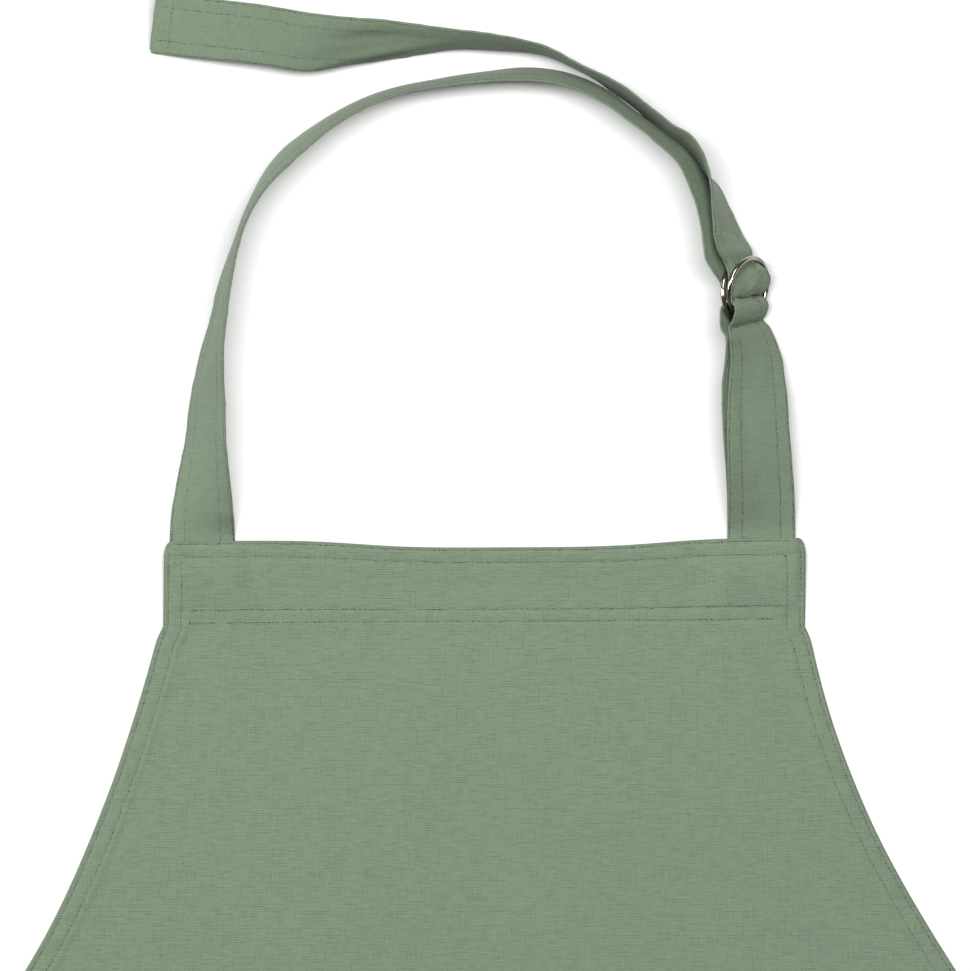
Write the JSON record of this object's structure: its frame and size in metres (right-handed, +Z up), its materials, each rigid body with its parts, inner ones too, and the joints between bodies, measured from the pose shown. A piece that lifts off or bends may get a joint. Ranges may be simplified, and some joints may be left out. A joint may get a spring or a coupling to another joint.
{
  "type": "kitchen apron",
  "caption": "Bib apron of sage green cloth lying flat, with hemmed edges, a neck strap gripped by a pair of wire rings on a tab, its loose end, and waist ties.",
  "frame": {"origin": "centre of the box in plan, on the surface that the apron lies on", "axes": "+Z up out of the front face of the cloth, +Y from the foot of the skirt to the neck strap, +X to the ring side"},
  "size_m": [0.8902, 1.1156, 0.0304],
  "materials": {
    "apron_cloth": "plain weave cotton and linen, matt",
    "strap_cloth": "plain weave cotton and linen, folded and topstitched, matt",
    "ring_metal": "polished nickel wire"
  },
  "bodies": {
    "root": {"apron_panel": "apron_cloth", "neck_strap": "strap_cloth", "ring_tab": "strap_cloth", "ring_lower": "ring_metal", "ring_upper": "ring_metal", "waist_tie_left": "strap_cloth", "waist_tie_right": "strap_cloth"}
  },
  "joints": []
}
